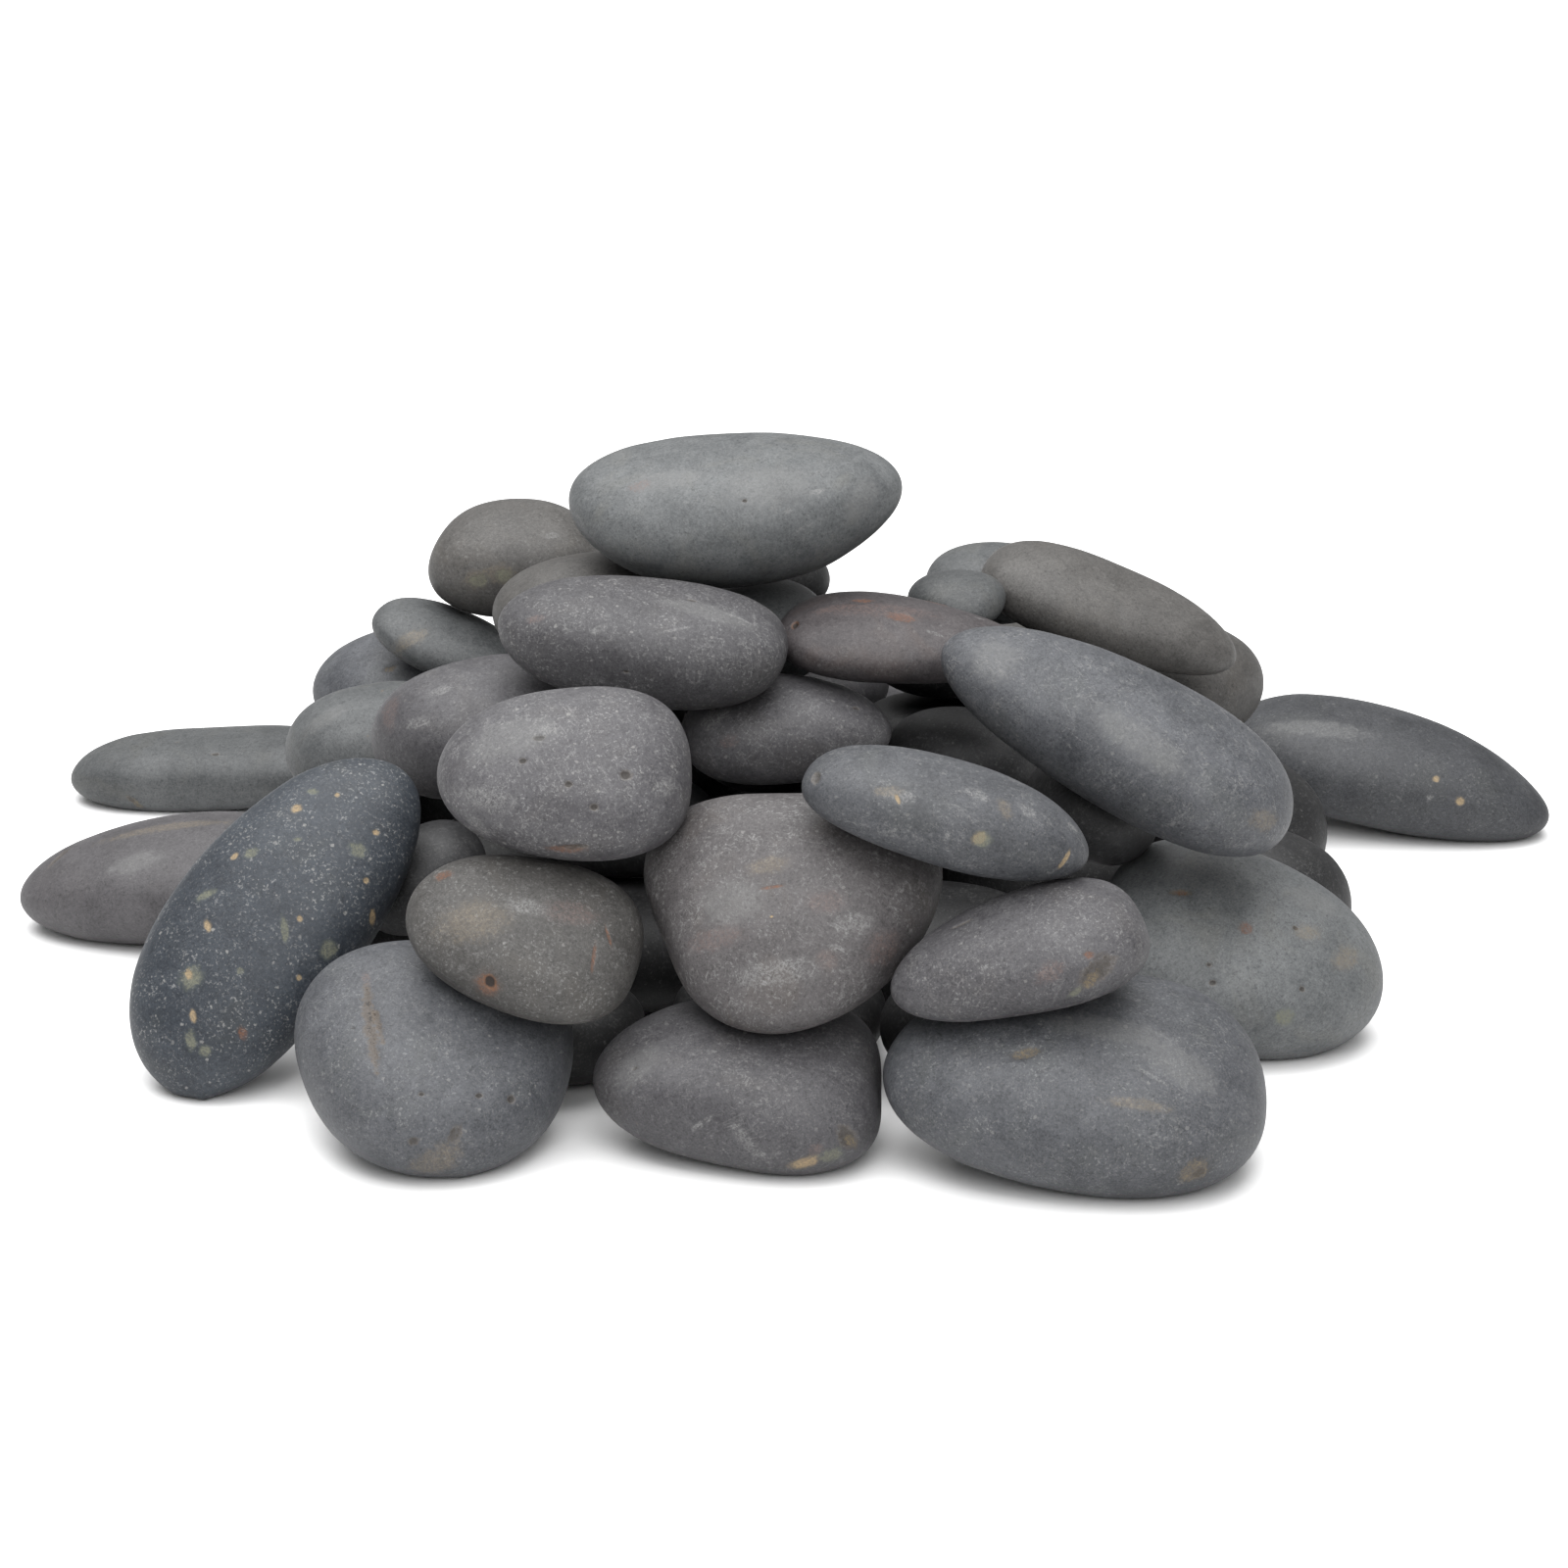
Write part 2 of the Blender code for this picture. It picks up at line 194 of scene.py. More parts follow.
# Each mark is its fill, how far along and up the stone it is as seen from the front, its length and width in
# millimetres, and the angle of its length. A crack is its start, its end and its width.
stones = {
    "crown": dict(basalt="greenGrey", seed=3, shade=1.12, flecks=0.25, scuffs=0.3, pits=0.3, marks=[
        ("haze", 0.60, 0.62, 22, 12, 10), ("haze", 0.30, 0.66, 16, 7, 0),
        ("redHaze", 0.22, 0.62, 6, 3, 10), ("chalk", 0.66, 0.46, 3, 1.2, 30),
        ("chalk", 0.74, 0.58, 4, 1.5, 20), ("chalk", 0.70, 0.35, 5, 1, 25),
        ("haze", 0.88, 0.55, 12, 6, 60), ("pit", 0.53, 0.52, 1.2, 0.8, 0)]),
    "under_crown": dict(basalt="greenGrey", seed=4, shade=0.85),
    "shoulder": dict(basalt="brownGrey", seed=5, shade=0.95, flecks=0.1),
    "bridge": dict(basalt="purpleGrey", seed=6, shade=0.74, flecks=0.7, scuffs=0.7, pits=0.4, marks=[
        ("redHaze", 0.14, 0.66, 5, 2, 0), ("haze", 0.72, 0.72, 22, 6, -12),
        ("pit", 0.67, 0.80, 2, 0.7, -10), ("pit", 0.45, 0.27, 1.2, 0.7, 0),
        ("chalk", 0.84, 0.66, 9, 0.7, -14), ("chalk", 0.62, 0.58, 8, 0.8, 18),
        ("chalk", 0.36, 0.58, 4, 2, 30)]),
    "back_left": dict(basalt="brownGrey", seed=7, shade=1.0, flecks=0.3, pits=0.3, marks=[
        ("tanHaze", 0.30, 0.30, 7, 5, 20), ("tanHaze", 0.44, 0.34, 7, 5, 0),
        ("olive", 0.31, 0.29, 5, 3, 20), ("olive", 0.45, 0.33, 4, 3, 0), ("chalk", 0.72, 0.66, 4, 2, 20)]),
    "left_leaner": dict(basalt="greenGrey", seed=8, shade=0.8, flecks=0.1, marks=[
        ("tanHaze", 0.25, 0.55, 10, 4, 30)]),
    "left_hidden": dict(basalt="blueGrey", seed=9, shade=1.0, flecks=0.2, marks=[
        ("chip", 0.46, 0.60, 3.5, 2, 20)]),
    "left_seam": dict(basalt="greenGrey", seed=10, shade=0.9, flecks=0.1, marks=[
        ("haze", 0.25, 0.7, 12, 6, 20)],
        cracks=[((0.56, 0.92), (0.50, 0.55), 0.5)]),
    "mauve": dict(basalt="purpleGrey", seed=11, shade=0.85, flecks=0.3, scuffs=0.4, marks=[
        ("redHaze", 0.10, 0.60, 6, 10, 0), ("chalk", 0.34, 0.74, 6, 3, 10),
        ("chalk", 0.24, 0.52, 7, 3, 0)]),
    "left_bar": dict(basalt="greenGrey", seed=12, shade=0.8, flecks=0.1, pits=0.35, marks=[
        ("pit", 0.52, 0.66, 2, 1.2, 0), ("pit", 0.38, 0.80, 1.2, 0.7, 0),
        ("chip", 0.25, 0.08, 5, 2, -50), ("scar", 0.23, 0.13, 3, 1.5, -50)]),
    "left_long": dict(basalt="mauveGrey", seed=13, shade=0.74, flecks=0.15, marks=[
        ("scar", 0.14, 0.66, 7, 2, 45), ("tanHaze", 0.50, 0.88, 30, 4, 4),
        ("haze", 0.42, 0.62, 14, 6, 10)]),
    "speckled": dict(basalt="speckled", seed=14, shade=0.82, flecks=0.9, scuffs=0.15, pits=0.2, marks=[
        ("tan", 0.58, 0.85, 2.6, 2.2, 0), ("tan", 0.72, 0.89, 1.2, 1.2, 0),
        ("olive", 0.63, 0.90, 3, 1.6, -20), ("tan", 0.37, 0.71, 2.0, 1.6, 50),
        ("olive", 0.43, 0.72, 3.4, 2.4, 20), ("olive", 0.59, 0.76, 2, 1, 0),
        ("tan", 0.86, 0.78, 1.6, 1.4, 0), ("olive", 0.80, 0.73, 4, 3, -20),
        ("tan", 0.83, 0.64, 1.4, 1.4, 0), ("olive", 0.28, 0.60, 5, 2.2, 10),
        ("tan", 0.29, 0.51, 1.6, 3, 20), ("tan", 0.61, 0.53, 1.2, 1.4, 0),
        ("olive", 0.56, 0.50, 1.6, 6, 10), ("tan", 0.85, 0.53, 1.9, 4, 0),
        ("olive", 0.71, 0.44, 4, 4, 0), ("olive", 0.24, 0.36, 5.6, 4.6, 20),
        ("tan", 0.23, 0.37, 1.8, 2.4, 20), ("tan", 0.61, 0.36, 1.3, 1.3, 0),
        ("tan", 0.66, 0.34, 1.5, 1.5, 0), ("olive", 0.41, 0.38, 1.6, 1.4, 0),
        ("tan", 0.25, 0.25, 1.6, 2.6, 10), ("rust", 0.42, 0.20, 2.0, 3.2, 20),
        ("olive", 0.24, 0.18, 2.6, 4.6, 10), ("olive", 0.29, 0.15, 2.8, 2.4, 0),
        ("chip", 0.05, 0.05, 7, 3, -40)]),
    "front_left": dict(basalt="blueGrey", seed=15, shade=0.93, flecks=0.55, scuffs=0.25, pits=0.9, marks=[
        ("tanHaze", 0.54, 0.08, 12, 7, 30), ("pit", 0.49, 0.37, 1.4, 0.9, 0),
        ("pit", 0.80, 0.34, 2, 1.6, 30), ("pit", 0.69, 0.36, 1.6, 1.0, 0),
        ("scar", 0.61, 0.20, 4, 2.5, 60), ("scar", 0.46, 0.17, 2.6, 1.6, 20),
        ("redHaze", 0.27, 0.84, 2, 5, 10)],
        cracks=[((0.27, 0.82), (0.33, 0.46), 1.5), ((0.30, 0.74), (0.35, 0.58), 0.7)]),
    # The wedge lies in the heap's shade; its dark basalt and low shade are painted shade.
    "wedge": dict(basalt="dark", seed=16, shade=0.75),
    "mitt": dict(basalt="purpleGrey", seed=17, shade=0.92, flecks=0.8, scuffs=0.75, pits=0.6, marks=[
        ("pit", 0.41, 0.70, 2.4, 1.4, 0), ("pit", 0.35, 0.57, 1.6, 1.2, 0),
        ("pit", 0.75, 0.49, 2.4, 2.2, 0), ("pit", 0.53, 0.44, 1.6, 1.3, 0),
        ("pit", 0.63, 0.31, 1.7, 1.4, 0), ("rust", 0.52, 0.07, 8, 2.6, 6),
        ("scar", 0.55, 0.08, 5.5, 1.6, 10), ("chalk", 0.20, 0.36, 12, 5, -10),
        ("chalk", 0.42, 0.74, 9, 3, 5), ("chalk", 0.17, 0.20, 7, 5, -40),
        ("chalk", 0.90, 0.42, 6, 4, 50), ("haze", 0.30, 0.70, 20, 10, 10)]),
    "brown_pit": dict(basalt="brownGrey", seed=18, shade=0.76, flecks=0.6, scuffs=0.5, pits=0.4, marks=[
        ("rust", 0.36, 0.24, 5.4, 6, 0), ("brownPit", 0.37, 0.26, 2.6, 3.2, 0),
        ("rust", 0.16, 0.88, 4, 3, 0), ("tanHaze", 0.30, 0.62, 16, 9, 10),
        ("rust", 0.80, 0.40, 0.9, 7, -6), ("rust", 0.86, 0.52, 0.8, 5, 20),
        ("chalk", 0.52, 0.70, 10, 4, -10), ("redHaze", 0.70, 0.66, 12, 6, 0)]),
    "centre": dict(basalt="warmGrey", seed=19, shade=0.88, flecks=0.55, scuffs=0.85, pits=0.3, marks=[
        ("tanHaze", 0.42, 0.70, 9, 4, 10), ("rust", 0.43, 0.61, 5, 0.8, 6),
        ("redHaze", 0.61, 0.55, 8, 5, 0), ("redHaze", 0.61, 0.31, 5, 4, 0),
        ("redHaze", 0.25, 0.40, 12, 5, 10), ("tanHaze", 0.14, 0.16, 12, 9, 30),
        ("chalk", 0.70, 0.46, 9, 5, 20), ("tan", 0.43, 0.49, 0.8, 0.5, 0),
        ("chalk", 0.45, 0.26, 20, 6, 6), ("haze", 0.30, 0.55, 14, 10, 0),
        ("redHaze", 0.80, 0.36, 9, 7, 30)]),
    "small_mid": dict(basalt="purpleGrey", seed=20, shade=0.85, flecks=0.5, scuffs=0.6, pits=0.3, marks=[
        ("chalk", 0.16, 0.60, 9, 6, 20), ("redHaze", 0.22, 0.38, 5, 3, 0),
        ("pit", 0.83, 0.68, 1.8, 1.0, 20)]),
    "rust": dict(basalt="rustGrey", seed=21, shade=0.78, flecks=0.2, pits=0.2, marks=[
        ("rust", 0.47, 0.70, 7, 3.4, -10), ("rust", 0.33, 0.88, 5, 2.2, 0),
        ("rust", 0.62, 0.86, 6, 1.6, -8), ("redHaze", 0.40, 0.78, 26, 6, 0),
        ("redHaze", 0.22, 0.80, 10, 3, 10), ("chalk", 0.60, 0.52, 5, 1.2, -20),
        ("brownPit", 0.07, 0.62, 1.8, 2.6, 0), ("chalk", 0.78, 0.74, 3, 1, 0)]),
    "long_diag": dict(basalt="blueGrey", seed=22, shade=0.92, flecks=0.35, scuffs=0.75, pits=0.15, marks=[
        ("haze", 0.55, 0.50, 26, 8, -35), ("haze", 0.15, 0.86, 10, 12, 0),
        ("tanHaze", 0.90, 0.16, 8, 5, 0)]),
    "tan_chips": dict(basalt="blueGrey", seed=23, shade=0.76, flecks=0.35, scuffs=0.5, pits=0.2, marks=[
        ("chalk", 0.34, 0.62, 8, 3, -10), ("tan", 0.33, 0.60, 1.0, 2.2, 20),
        ("tanHaze", 0.30, 0.66, 6, 2.4, 0), ("chalk", 0.60, 0.64, 6, 3, -20),
        ("tanHaze", 0.70, 0.54, 3, 5, 20), ("chalk", 0.78, 0.52, 5, 3, -30),
        ("tan", 0.61, 0.32, 3.2, 2.6, 30), ("olive", 0.62, 0.31, 3.8, 3.4, 0),
        ("tan", 0.91, 0.16, 4.6, 1.2, 50), ("chalk", 0.94, 0.40, 3, 2, 0),
        ("chalk", 0.50, 0.34, 1, 3, -20), ("scar", 0.05, 0.76, 2, 3, 0)]),
    "nose_chip": dict(basalt="purpleGrey", seed=24, shade=0.82, flecks=0.6, scuffs=0.6, pits=0.3, marks=[
        ("scar", 0.78, 0.36, 9, 4, 40), ("chip", 0.76, 0.30, 6, 2.6, 50),
        ("rust", 0.75, 0.48, 2.2, 1.8, 0), ("redHaze", 0.60, 0.36, 7, 4, 30),
        ("olive", 0.70, 0.22, 4, 1.6, 40), ("scar", 0.27, 0.68, 4, 0.8, 6)]),
    "front_right": dict(basalt="blueGrey", seed=25, shade=0.86, flecks=0.5, scuffs=0.45, pits=0.3, marks=[
        ("chip", 0.36, 0.66, 6.6, 3.0, 14), ("chip", 0.79, 0.13, 7.4, 6, 20),
        ("scar", 0.80, 0.12, 3.4, 2.6, 30), ("haze", 0.76, 0.60, 18, 9, -30),
        ("tanHaze", 0.64, 0.44, 13, 2.6, -6), ("chalk", 0.68, 0.56, 8, 1.2, -30),
        ("haze", 0.58, 0.76, 26, 7, -10)]),
    "right_base": dict(basalt="greenGrey", seed=26, shade=1.18, flecks=0.3, scuffs=0.2, pits=0.35, marks=[
        ("chip", 0.30, 0.76, 5.6, 2.4, -10), ("rust", 0.30, 0.76, 3.2, 1.4, -10),
        ("rust", 0.51, 0.60, 3, 3, 60), ("pit", 0.68, 0.60, 1.5, 1.2, 0),
        ("pit", 0.38, 0.44, 1.2, 1.0, 0), ("pit", 0.39, 0.36, 1.6, 1.3, 0),
        ("pit", 0.69, 0.33, 1.3, 1.3, 0), ("olive", 0.63, 0.20, 4.4, 4, 0),
        ("tanHaze", 0.72, 0.58, 7, 4, 20), ("tanHaze", 0.85, 0.46, 9, 5, 40),
        ("haze", 0.76, 0.72, 14, 8, 0)]),
    "front_middle": dict(basalt="purpleGrey", seed=27, shade=0.8, flecks=0.4, scuffs=0.6, pits=0.3, marks=[
        ("scar", 0.88, 0.22, 5.6, 3.4, -50), ("chip", 0.89, 0.20, 4, 2.4, -50),
        ("tan", 0.73, 0.08, 6, 3.4, 20), ("redHaze", 0.77, 0.16, 3.4, 2.6, 0),
        ("olive", 0.82, 0.12, 5, 3.6, 0), ("pit", 0.15, 0.60, 1.3, 1, 0),
        ("chalk", 0.38, 0.30, 7, 1.4, 40), ("chalk", 0.54, 0.20, 12, 3, -50),
        ("haze", 0.16, 0.62, 14, 8, 30)],
        cracks=[((0.14, 0.50), (0.16, 0.28), 0.3)]),
    "far_right": dict(basalt="blueGrey", seed=28, shade=0.52, flecks=0.25, scuffs=0.15, marks=[
        ("tan", 0.64, 0.42, 1.8, 1.8, 0), ("tan", 0.71, 0.27, 2.2, 2.2, 0),
        ("chalk", 0.62, 0.30, 2, 1.6, 0), ("haze", 0.30, 0.76, 26, 6, -12)]),
    "upper_right": dict(basalt="brownGrey", seed=29, shade=0.95, flecks=0.15, scuffs=0.15),
    "back_right_small": dict(basalt="greenGrey", seed=30, shade=0.85),
    "back_dark_small": dict(basalt="greenGrey", seed=31, shade=0.75, pits=0.8),
    "right_behind": dict(basalt="brownGrey", seed=32, shade=0.8, marks=[("tanHaze", 0.4, 0.3, 9, 5, 0)]), 
    # These stones lie deep in the gaps of the heap; their dark basalt and low shade are painted shade, which
    # keeps the gaps black.
    "dark_centre": dict(basalt="dark", seed=33, shade=0.75, flecks=0.3),
    "dark_gap": dict(basalt="dark", seed=34, shade=0.6),
    "dark_fleck": dict(basalt="dark", seed=35, shade=1.0, marks=[("tan", 0.55, 0.72, 3.4, 1.6, 0)]), 
    "back_mid_left": dict(basalt="blueGrey", seed=36, shade=1.0, scuffs=0.4, pits=0.3),
    "back_mid_right": dict(basalt="brownGrey", seed=37, shade=1.0, scuffs=0.3, pits=0.4),
    "back_top": dict(basalt="purpleGrey", seed=38, shade=1.0, scuffs=0.5),
    "back_low_left": dict(basalt="greenGrey", seed=39, shade=1.0, pits=0.5),
    "back_low_middle": dict(basalt="purpleGrey", seed=40, shade=1.0, flecks=0.6, scuffs=0.5, pits=0.4),
    "back_low_right": dict(basalt="speckled", seed=41, shade=1.0, flecks=0.8, pits=0.2),
}
# Stones that are not listed lie hidden inside the heap; their dark basalt at shade 0.4 is painted shade, so
# that the gaps between the seen stones stay black.
plainStone = dict(basalt="dark", shade=0.4, flecks=0.2, scuffs=0.2, pits=0.2, marks=[], cracks=[])

body = dict(sameCorner=0.01 * mm, pairUpTo=radians(60), regrow=0.7, lump=30 * mm, lumpDepth=1.2 * mm,
            ripple=5 * mm, rippleDepth=0.07 * mm, groundFade=4 * mm,
            markEdge=1.35, crackEdge=1.2, crackDepth=0.45 * mm,
            plainLevels=2, seenLevels=3, detailLevels=4, fewMarks=4)

sight = Vector((0, cos(radians(shot["elevation"])), -sin(radians(shot["elevation"]))))
upward = Vector((0, sin(radians(shot["elevation"])), cos(radians(shot["elevation"]))))


def cageFor(node):
    # The CAD stone's own corners, with its triangles paired into quads that subdivide evenly.
    bm = bmesh.new()
    bm.from_mesh(heap[node].data)
    bmesh.ops.remove_doubles(bm, verts=bm.verts[:], dist=body["sameCorner"])
    bmesh.ops.join_triangles(bm, faces=bm.faces[:], angle_face_threshold=body["pairUpTo"],
                             angle_shape_threshold=body["pairUpTo"])
    bmesh.ops.recalc_face_normals(bm, faces=bm.faces[:])
    return bm


def regrown(bm, name):
    # Subdividing draws a cage in, so each corner is first moved out by most of what it would lose.
    trial = subdivided(bm.copy(), name, 2)
    tree = BVHTree.FromPolygons([v.co for v in trial.vertices], [p.vertices[:] for p in trial.polygons])
    for v in bm.verts:
        v.co += (v.co - tree.find_nearest(v.co)[0]) * body["regrow"]
    bpy.data.meshes.remove(trial)


def lumpy(bm, seed):
    # Only shallow hollows are added, so that no stone grows into its neighbours.
    middle = sum((v.co for v in bm.verts), Vector()) / len(bm.verts)
    shift = Vector((seed * 0.37, seed * 0.61, seed * 0.83))
    for v in bm.verts:
        hollow = min(0, noise.noise(v.co / body["lump"] + shift) - 0.1)
        v.co += (v.co - middle).normalized() * hollow * body["lumpDepth"]


def subdivided(bm, name, levels):
    cage = bpy.data.meshes.new(name + "Cage")
    bm.to_mesh(cage)
    bm.free()
    rough = bpy.data.objects.new(name + "Cage", cage)
    bpy.context.scene.collection.objects.link(rough)
    finer = rough.modifiers.new("finer", "SUBSURF")
    finer.levels = finer.render_levels = levels
    mesh = bpy.data.meshes.new_from_object(rough.evaluated_get(bpy.context.evaluated_depsgraph_get()))
    bpy.data.objects.remove(rough)
    mesh.name = name
    return mesh


def spotOn(points, tree, along, up):
    # The point on the stone's front that lies so far along and up it.
    side = points[:, 0].min() + along * (points[:, 0].max() - points[:, 0].min())
    heights = points @ np.array(upward)
    height = heights.min() + up * (heights.max() - heights.min())
    start = Vector((side, 0, 0)) + upward * height - sight
    place, facing = tree.ray_cast(start, sight)[:2]
    if place is None:
        place, facing = tree.find_nearest(start + sight * (1 + Vector(points.mean(axis=0)).dot(sight)))[:2]
    return place, facing


def markFrame(points, tree, mark):
    # Where a mark lies and its two directions, each divided by the mark's own half size.
    fill, along, up, length, width, angle = mark
    place, facing = spotOn(points, tree, along, up)
    level = Vector((1, 0, 0)) - facing * facing.x
    level = (Matrix.Rotation(radians(angle), 3, facing) @ level).normalized()
    cross = facing.cross(level)
    return fill, place, level / (length * mm / 2), cross / (width * mm / 2), facing / (length * mm)


def dig(points, normals, marks, cracks):
    # Pits, chips and cracks are hollows in the surface itself.
    depth = np.zeros(len(points))
    for fill, place, level, cross, deep in marks:
        if fills[fill]["deep"] == 0:
            continue
        off = points - np.array(place)
        reach = np.sqrt(sum((off @ np.array(way)) ** 2 for way in (level, cross, deep)))
        depth = np.maximum(depth, fills[fill]["deep"] * np.clip(body["markEdge"] - reach, 0, 1) ** 0.7)
    for start, end, width in cracks:
        line = np.array(end - start)
        share = np.clip(((points - np.array(start)) @ line) / (line @ line), 0, 1)
        gap = np.linalg.norm(points - np.array(start) - share[:, None] * line, axis=1)
        hollow = np.clip(body["crackEdge"] - gap / (width * mm), 0, 1) * np.sin(share * pi) ** 0.5
        depth = np.maximum(depth, body["crackDepth"] * hollow)
    return points - normals * depth[:, None]


def ripple(points, normals, seed):
    shift = Vector((seed * 1.7, seed * 0.9, seed * 0.4))
    waves = np.array([noise.noise(Vector(p) / body["ripple"] + shift) for p in points])
    keep = np.clip(points[:, 2] / body["groundFade"], 0, 1)
    return points - normals * ((waves * 0.5 + 0.5) * keep * body["rippleDepth"])[:, None]


def carveStone(node, stone, levels):
    bm = cageFor(node)
    regrown(bm, node + "_trial")
    lumpy(bm, stone["seed"])
    mesh = subdivided(bm, node + "_pebble", levels)
    count = len(mesh.vertices)
    points, normals = np.empty(count * 3), np.empty(count * 3)
    mesh.vertices.foreach_get("co", points)
    mesh.vertex_normals.foreach_get("vector", normals)
    points, normals = points.reshape(-1, 3), normals.reshape(-1, 3)
    tree = BVHTree.FromPolygons([Vector(p) for p in points], [p.vertices[:] for p in mesh.polygons])
    marks = [markFrame(points, tree, mark) for mark in stone["marks"]]
    cracks = [(spotOn(points, tree, *start)[0], spotOn(points, tree, *end)[0], width)
              for start, end, width in stone["cracks"]]
    points = dig(ripple(points, normals, stone["seed"]), normals, marks, cracks)
    points[:, 2] = points[:, 2].clip(min=0)  # a worn underside stays level
    mesh.vertices.foreach_set("co", points.ravel())
    mesh.shade_smooth()
    mesh.update()
    return mesh, marks, cracks


# The size of each pattern in the basalt, from broad to fine.
grain = dict(drift=28 * mm, patch=15 * mm, worn=11 * mm, mottle=7 * mm, gasHole=3.4 * mm, crystal=2.1 * mm,
             wobble=1.8 * mm, strokeToo=1.6 * mm, stroke=1.3 * mm, speck=1.1 * mm, darkFleck=0.9 * mm,
             fleck=0.75 * mm, crumb=0.6 * mm, fine=0.45 * mm)
# How far each one covers the stone where it is asked for in full, and the colours of the pale and dark ones.
cover = dict(tint=0.35, fleck=0.72, crystal=0.6, darkFleck=0.55, rubbed=0.85, gasHole=0.8)
paint = dict(fleck=(0.23, 0.23, 0.227), crystal=(0.25, 0.245, 0.235), rubbed=(0.172, 0.170, 0.168),
             # gasHole and crack are painted shade: near-black colours for the insides of holes and cracks.
             gasHole=(0.020, 0.019, 0.018), crackRim=(0.100, 0.078, 0.058), crack=(0.014, 0.012, 0.011))
finish = dict(rough=0.56, bump=0.7, bumpDepth=0.16 * mm, specular=0.3)


def paintMark(desk, here, colour, relief, rough, laid, wobble, crumbs):
    # A mark's own floor and rim are laid over the colour so far.
    fill, place, level, cross, deep = laid
    look = fills[fill]
    off = desk.across("SUBTRACT", here, tuple(place))
    reach = [desk.across("DOT_PRODUCT", off, tuple(way), output=1) for way in (level, cross, deep)]
    distance = (reach[0] ** 2 + reach[1] ** 2 + reach[2] ** 2) ** 0.5 + (wobble - 0.5) * (2 * look["ragged"])
    whole = 1 - crumbs * look["broken"]
    inside = distance.fade(1.15, 0.72) * whole
    rim = distance.fade(1.5, 1.0) * whole
    colour = desk.mix(rim * (look["cover"] * 0.55), colour, look["rim"])
    colour = desk.mix(inside * look["cover"], colour, look["colour"])
    if look["deep"] > 0:
        relief = relief - inside * 0.6
        rough = rough + inside * 0.15
    return colour, relief, rough


def paintCrack(desk, here, colour, relief, crack, wobble):
    start, end, width = crack
    line = end - start
    off = desk.across("SUBTRACT", here, tuple(start))
    share = (desk.across("DOT_PRODUCT", off, tuple(line / line.length_squared), output=1)).capped()
    along = desk.put("ShaderNodeVectorMath", dict(operation="SCALE"), {0: tuple(line), "Scale": share})
    gap = desk.across("DISTANCE", off, along, output=1) * (1 / (width * mm)) + (wobble - 0.5) * 3.4
    gap = gap + (share - 0.5) ** 2 * 3.2
    colour = desk.mix(gap.fade(1.5, 0.6) * 0.55, colour, paint["crackRim"])
    # The near-black line down the crack is painted shade; the brown rim beside it is a stain.
    colour = desk.mix(gap.fade(0.45, 0.05) * 0.85, colour, paint["crack"])
    return colour, relief - gap.fade(1.0, 0.1)


def patternsFor(desk, here, seed):
    # Every noise that a stone is painted from, turned its own way.
    turn = (seed * 0.7, seed * 1.3, seed * 0.4)
    shift = tuple(t * 0.1 for t in turn)
    own = desk.put("ShaderNodeMapping", {}, {"Vector": here, "Rotation": turn, "Location": shift})
    turned = desk.put("ShaderNodeMapping", {}, {"Vector": own, "Rotation": (0.4, 0.9, 0.5)})
    drawnOut = desk.across("MULTIPLY", own, (1, 0.22, 1))
    drawnOutToo = desk.across("MULTIPLY", turned, (0.3, 1, 0.9))
    return dict(
        drift=desk.cloud(own, grain["drift"], detail=4, rough=0.55, swirl=1.2),
        patch=desk.cloud(own, grain["patch"], detail=3, rough=0.6, swirl=0.8),
        mottle=desk.cloud(own, grain["mottle"], detail=4, rough=0.6, swirl=0.6),
        speck=desk.cloud(own, grain["speck"], detail=2, rough=0.6),
        fine=desk.cloud(own, grain["fine"], detail=1),
        fleck=desk.cloud(own, grain["fleck"], detail=2, rough=0.7).fade(0.55, 0.68),
        darkFleck=desk.cloud(turned, grain["darkFleck"], detail=2, rough=0.7).fade(0.56, 0.70),
        crystal=desk.cells(own, grain["crystal"]),
        crystalLot=desk.channel(desk.cells(own, grain["crystal"], output="Color"), "Green"),
        gasHole=desk.cells(own, grain["gasHole"]),
        gasHoleLot=desk.channel(desk.cells(own, grain["gasHole"], output="Color"), "Red"),
        crumb=desk.cloud(own, grain["crumb"], detail=2, rough=0.8).fade(0.42, 0.60),
        stroke=desk.cloud(drawnOut, grain["stroke"], detail=3, rough=0.7, swirl=1.6).fade(0.53, 0.66),
        strokeToo=desk.cloud(
            drawnOutToo, grain["strokeToo"], detail=3, rough=0.7, swirl=1.2).fade(0.54, 0.68),
        worn=desk.cloud(turned, grain["worn"], detail=4, rough=0.65, swirl=0.8).fade(0.42, 0.60),
        wobble=desk.cloud(own, grain["wobble"], detail=4, rough=0.75),
    )


def groundMass(desk, p, dark, light, tint):
    # The two tones, from cloudy to fine, with the tint drifting over them.
    tone = (p["drift"] - 0.5) * 1.2 + (p["mottle"] - 0.5) * 1.1 + (p["speck"] - 0.5) + (p["fine"] - 0.5) * 1.1
    colour = desk.mix((tone + 0.5).capped(), dark, light)
    return desk.mix(p["patch"].fade(0.50, 0.72) * cover["tint"], colour, tint)


def addFlecks(desk, p, colour, crowd, dark, amount):
    # Pale flecks, single crystals and dark flecks.
    thick = crowd * 0.8 + 0.2
    colour = desk.mix(p["fleck"] * thick * (cover["fleck"] * amount), colour, paint["fleck"])
    crystal = (p["crystal"] + (p["speck"] - 0.5) * 0.9).fade(0.22, 0.08) * p["crystalLot"].fade(0.70, 0.90)
    colour = desk.mix(crystal * (cover["crystal"] * amount), colour, paint["crystal"])
    return desk.mix(p["darkFleck"] * cover["darkFleck"], colour, tuple(c * 0.6 for c in dark))


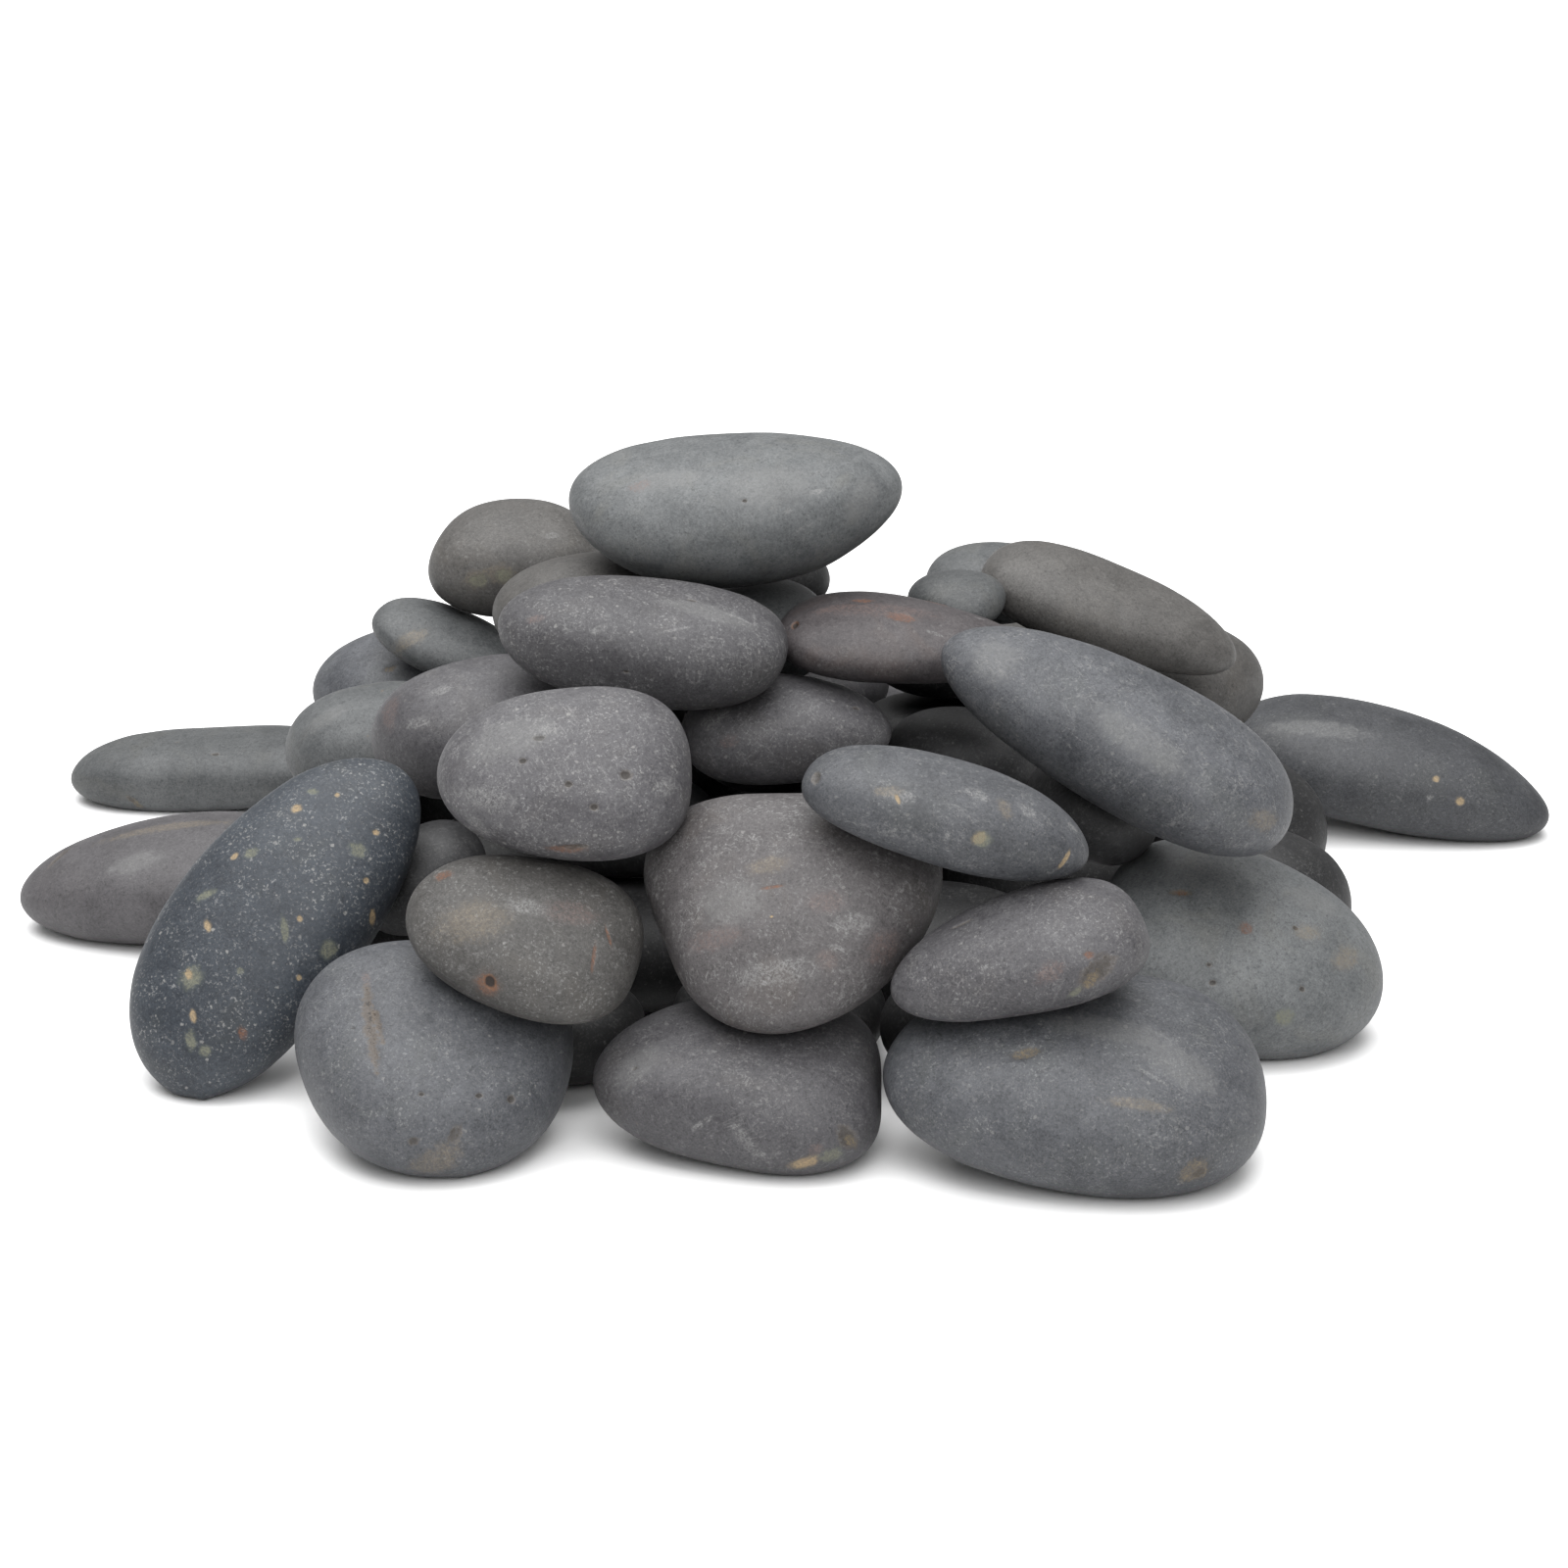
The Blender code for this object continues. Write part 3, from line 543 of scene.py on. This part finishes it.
def basaltFor(node, stone, marks, cracks):
    look = basalts[stone["basalt"]]
    dark, light, tint = (tuple(c * stone["shade"] for c in look[key]) for key in ("dark", "light", "tint"))
    desk = Desk("basalt_" + node)
    here = desk.put("ShaderNodeTexCoord", {}, {}, output="Object")
    p = patternsFor(desk, here, stone["seed"])
    crowd = (p["patch"] * 0.5 + p["mottle"] * 0.5).fade(0.40, 0.62)  # where flecks and holes are thicker

    colour = groundMass(desk, p, dark, light, tint)
    colour = addFlecks(desk, p, colour, crowd, dark, stone["flecks"])

    # Short rubbed strokes, in patches and broken into crumbs.
    rubbed = (p["stroke"] + p["strokeToo"]).capped() * (p["crumb"] * 0.75 + 0.25) * (p["worn"] * 0.85 + 0.15)
    colour = desk.mix(rubbed * (cover["rubbed"] * stone["scuffs"]), colour, paint["rubbed"])

    chosen = p["gasHoleLot"].fade(0.80, 0.86) * crowd
    hole = (p["gasHole"] + (p["fine"] - 0.5) * 0.12).fade(0.17, 0.09) * chosen * stone["pits"]
    # Gas holes are painted near black: painted shade inside the holes.
    colour = desk.mix(hole * cover["gasHole"], colour, paint["gasHole"])

    relief = (p["speck"] - 0.5) * 0.35 + (p["fine"] - 0.5) * 0.30 + (p["mottle"] - 0.5) * 0.5
    relief = relief - hole * 1.2 + rubbed * (0.2 * stone["scuffs"])
    rough = finish["rough"] + (p["mottle"] - 0.5) * 0.16 + p["fleck"] * 0.06 - rubbed * 0.05
    crumbs = 1 - (p["stroke"].calc("MAXIMUM", p["strokeToo"]) * 0.6 + p["crumb"] * 0.7)
    for mark in marks:
        colour, relief, rough = paintMark(desk, here, colour, relief, rough, mark, p["wobble"], crumbs)
    for crack in cracks:
        colour, relief = paintCrack(desk, here, colour, relief, crack, p["wobble"])

    desk.feed(desk.shader.inputs["Base Color"], colour)
    desk.feed(desk.shader.inputs["Roughness"], rough.capped())
    values = {"Height": relief, "Strength": finish["bump"], "Distance": finish["bumpDepth"]}
    desk.feed(desk.shader.inputs["Normal"], desk.put("ShaderNodeBump", {}, values))
    desk.feed(desk.shader.inputs["Specular IOR Level"], finish["specular"])
    return desk.material


def addStone(node, seed):
    stone = plainStone | dict(seed=seed) | stones.get(node, {})
    if node not in stones:
        levels = body["plainLevels"]
    else:
        levels = body["detailLevels"] if len(stone["marks"]) > body["fewMarks"] else body["seenLevels"]
    mesh, marks, cracks = carveStone(node, stone, levels)
    mesh.materials.clear()
    mesh.materials.append(basaltFor(node, stone, marks, cracks))
    pebble = bpy.data.objects.new(node + "_pebble", mesh)
    bpy.context.scene.collection.objects.link(pebble)
    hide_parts(node)
    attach(pebble, bodyOf[node])
    return len(mesh.polygons)


faces = sum(addStone(node, 50 + k) for k, node in enumerate(sorted(heap)))
print("stones:", len(heap), "with", faces, "quads")


studio = dict(paper=(0.80, 0.80, 0.80), paperLight=(0.82, 0.82, 0.82), paperTooth=3 * mm, paperRough=0.8,
              floorSize=8.0, sky=0.36,
              overhead=dict(place=(-0.2, 0.1, 1.9), size=2.4, power=94.0),
              front=dict(place=(0.2, -1.7, 1.5), size=1.5, power=34.0))


def addFloor():
    bm = bmesh.new()
    bmesh.ops.create_grid(bm, x_segments=1, y_segments=1, size=studio["floorSize"] / 2)
    mesh = bpy.data.meshes.new("studioFloor")
    bm.to_mesh(mesh)
    bm.free()
    desk = Desk("paperFloor")
    here = desk.put("ShaderNodeTexCoord", {}, {}, output="Object")
    tooth = desk.cloud(here, studio["paperTooth"])
    desk.feed(desk.shader.inputs["Base Color"], desk.mix(tooth, studio["paper"], studio["paperLight"]))
    desk.feed(desk.shader.inputs["Roughness"], studio["paperRough"])
    mesh.materials.append(desk.material)
    floor = bpy.data.objects.new("studioFloor", mesh)
    bpy.context.scene.collection.objects.link(floor)


def addSoftbox(name, place, size, power):
    lamp = bpy.data.lights.new(name, "AREA")
    lamp.shape, lamp.size, lamp.energy = "SQUARE", size, power
    light = bpy.data.objects.new(name, lamp)
    light.location = place
    light.rotation_euler = (-Vector(place)).to_track_quat("-Z", "Y").to_euler()
    bpy.context.scene.collection.objects.link(light)


def addSky():
    world = bpy.data.worlds.new("studioSky")
    world.use_nodes = True
    sky = world.node_tree.nodes["Background"]
    sky.inputs["Color"].default_value = (1, 1, 1, 1)
    sky.inputs["Strength"].default_value = studio["sky"]
    bpy.context.scene.world = world


addFloor()
for name in ("overhead", "front"):
    addSoftbox(name, **studio[name])
addSky()
bpy.context.scene.view_settings.view_transform = "Standard"
print("studio set")
